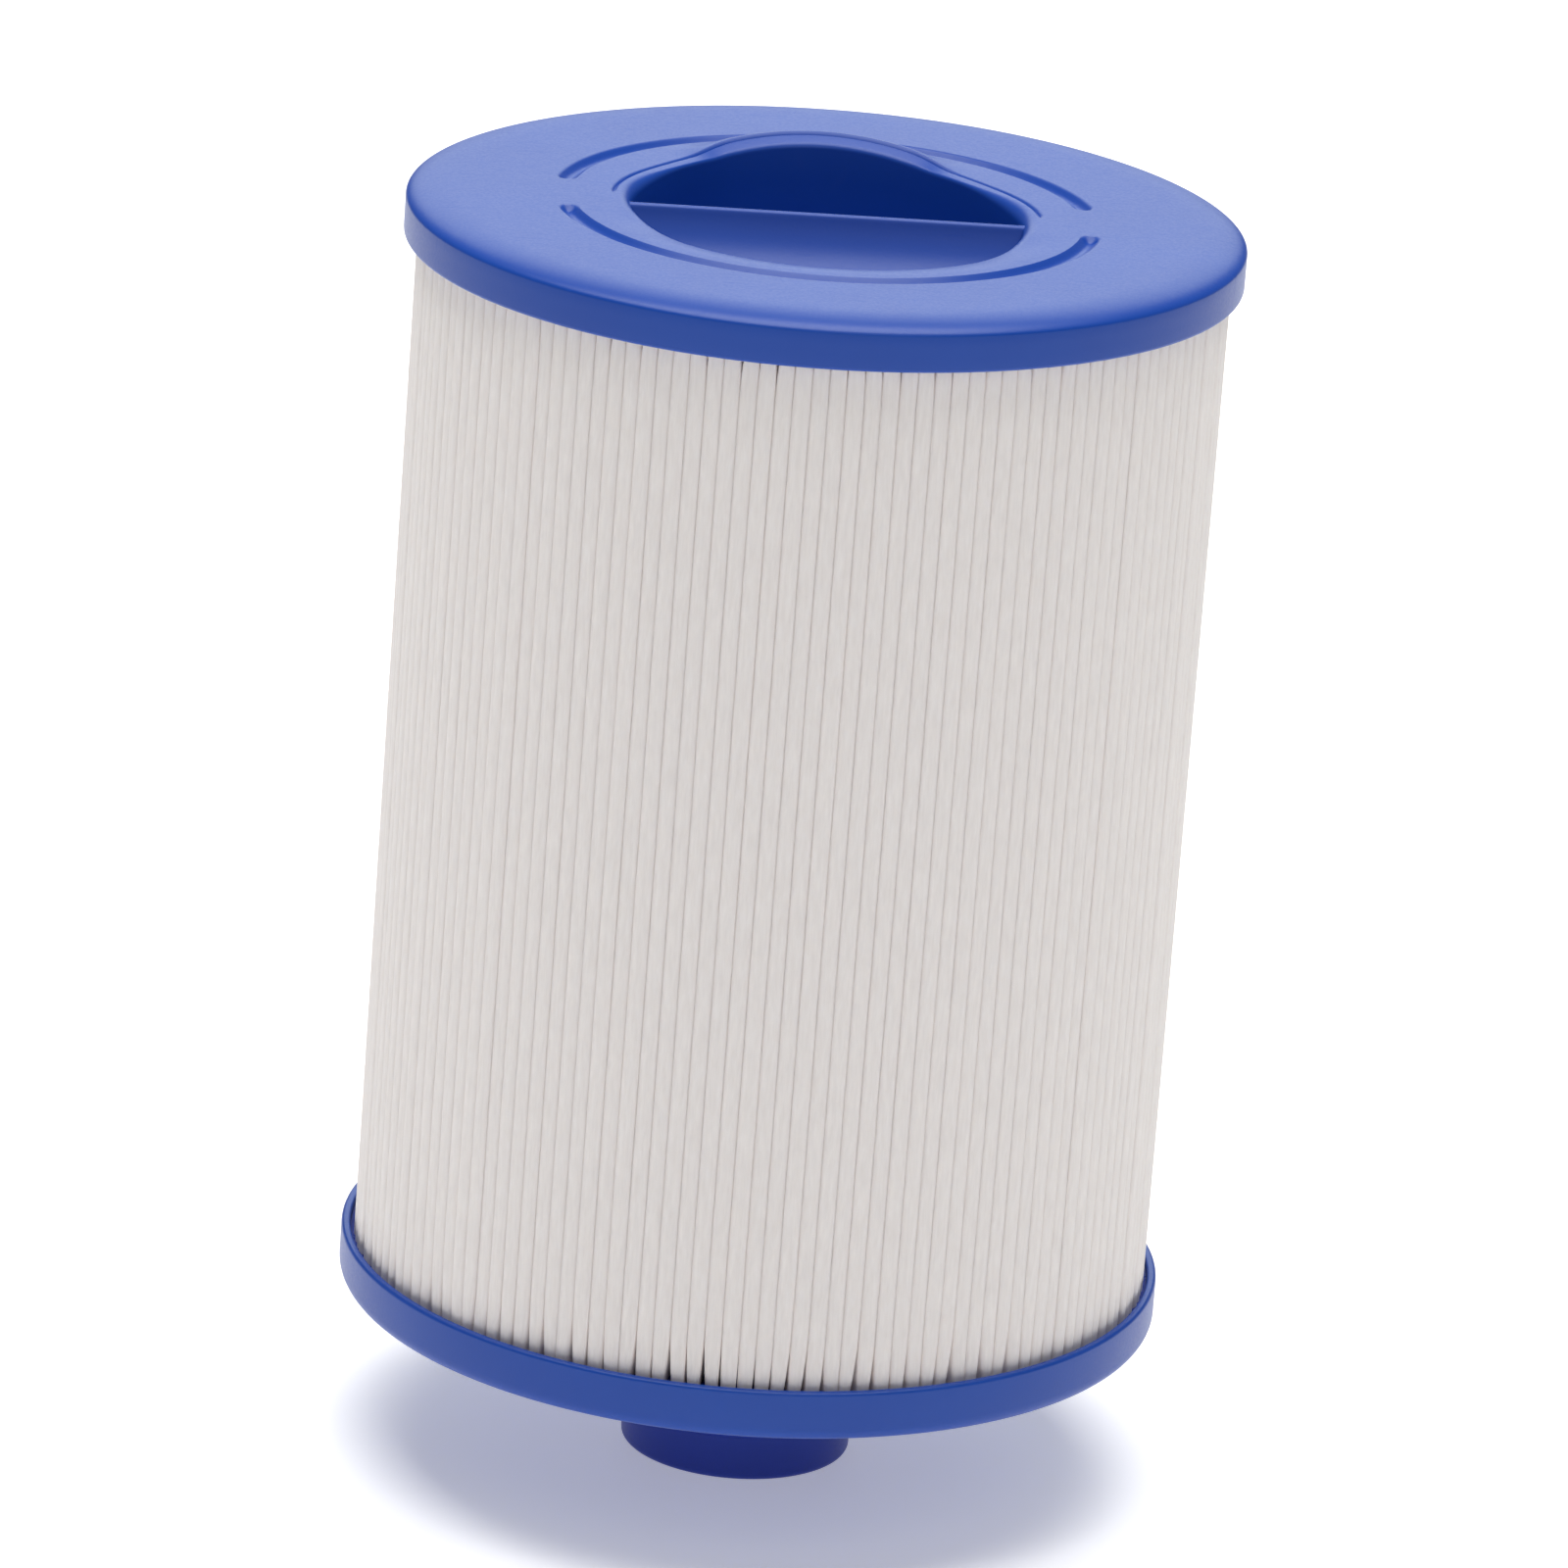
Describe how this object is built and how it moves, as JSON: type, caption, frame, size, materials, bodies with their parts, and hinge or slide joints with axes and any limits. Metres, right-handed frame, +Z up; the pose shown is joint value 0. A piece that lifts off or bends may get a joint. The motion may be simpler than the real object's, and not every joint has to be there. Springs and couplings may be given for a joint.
{
  "type": "filter cartridge",
  "caption": "Screw-in pleated water filter cartridge with moulded end caps, a finger grip on top and a threaded outlet nozzle below.",
  "frame": {"origin": "centre of the outlet nozzle's end face, the lowest point of the cartridge", "axes": "+Z up along the cartridge axis from nozzle to grip, +X along the grip blade, +Y towards the raised lip behind the pocket"},
  "size_m": [0.1524, 0.1524, 0.2435],
  "materials": {
    "blue_cap_plastic": "satin moulded",
    "blue_nozzle_plastic": "satin moulded",
    "white_filter_sheet": "spun-bonded non-woven",
    "white_core_plastic": "satin moulded",
    "cast_adhesive": "cast, slightly glossy"
  },
  "bodies": {
    "root": {"top_cap": "blue_cap_plastic", "bottom_cap": "blue_cap_plastic", "threaded_nozzle": "blue_nozzle_plastic", "pleated_media": "white_filter_sheet", "media_seam": "cast_adhesive", "core_tube": "white_core_plastic", "top_potting": "cast_adhesive", "bottom_potting": "cast_adhesive"}
  },
  "joints": []
}
